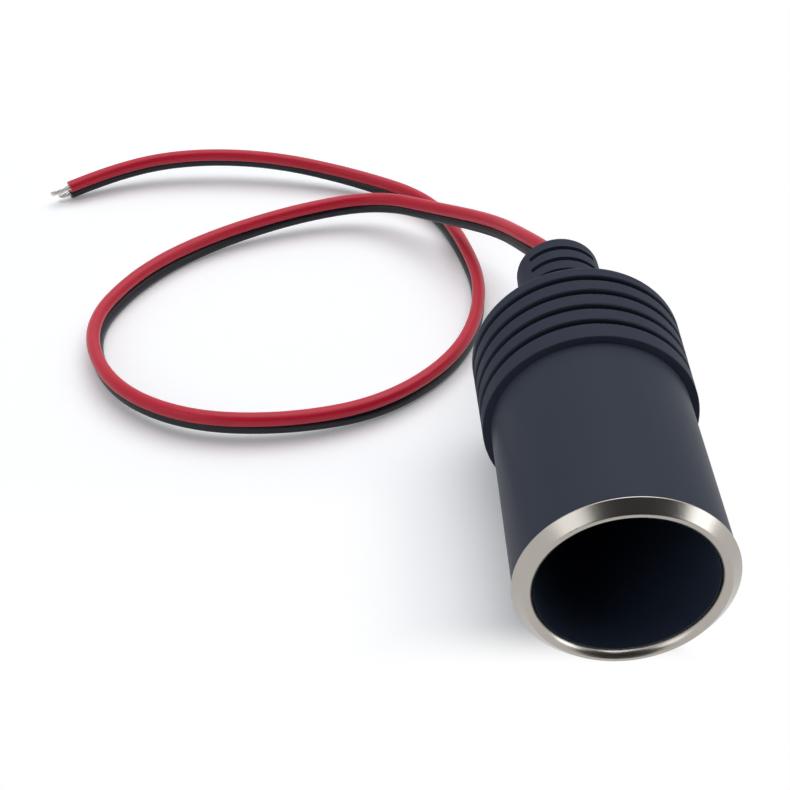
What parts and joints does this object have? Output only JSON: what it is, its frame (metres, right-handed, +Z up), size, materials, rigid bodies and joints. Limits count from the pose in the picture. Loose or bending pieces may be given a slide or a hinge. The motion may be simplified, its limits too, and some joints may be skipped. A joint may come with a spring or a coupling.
{
  "type": "car accessory socket with twin lead",
  "caption": "Round car accessory socket with a bright flared lip, smooth dark barrel, ribbed boot with a slotted strain relief, and a red and black twin lead with stripped ends.",
  "frame": {"origin": "on the floor, under the middle of the socket's length and width; the free lead is left out", "axes": "+Y from the socket's mouth towards its strain relief, +Z up off the floor it lies on, +X to the right seen from the mouth's side"},
  "size_m": [0.0975, 0.1248, 0.0283],
  "materials": {
    "nickel_plate": "polished nickel plate",
    "barrel_plastic": "satin blue-black moulding",
    "boot_plastic": "matte blue-black soft PVC",
    "insulator_fibre": "brown pressed fibre",
    "contact_brass": "turned brass",
    "tinned_brass": "tinned brass strip",
    "rivet_steel": "plain steel",
    "solder": "soft solder",
    "red_sheath": "semi-gloss red PVC",
    "black_sheath": "semi-gloss black PVC",
    "tinned_copper": "tinned copper strands"
  },
  "bodies": {
    "root": {"socket_shell": "nickel_plate", "barrel_sleeve": "barrel_plastic", "rear_boot": "boot_plastic", "contact_insulator": "insulator_fibre", "rear_insulator": "insulator_fibre", "centre_contact": "contact_brass", "positive_lug": "tinned_brass", "ground_lug": "tinned_brass", "ground_rivet": "rivet_steel", "positive_solder": "solder", "ground_solder": "solder", "red_lead_end": "red_sheath", "black_lead_end": "black_sheath", "red_conductor_end": "tinned_copper", "black_conductor_end": "tinned_copper", "red_core": "red_sheath", "black_core": "black_sheath", "red_strands": "tinned_copper", "black_strands": "tinned_copper"}
  },
  "joints": []
}
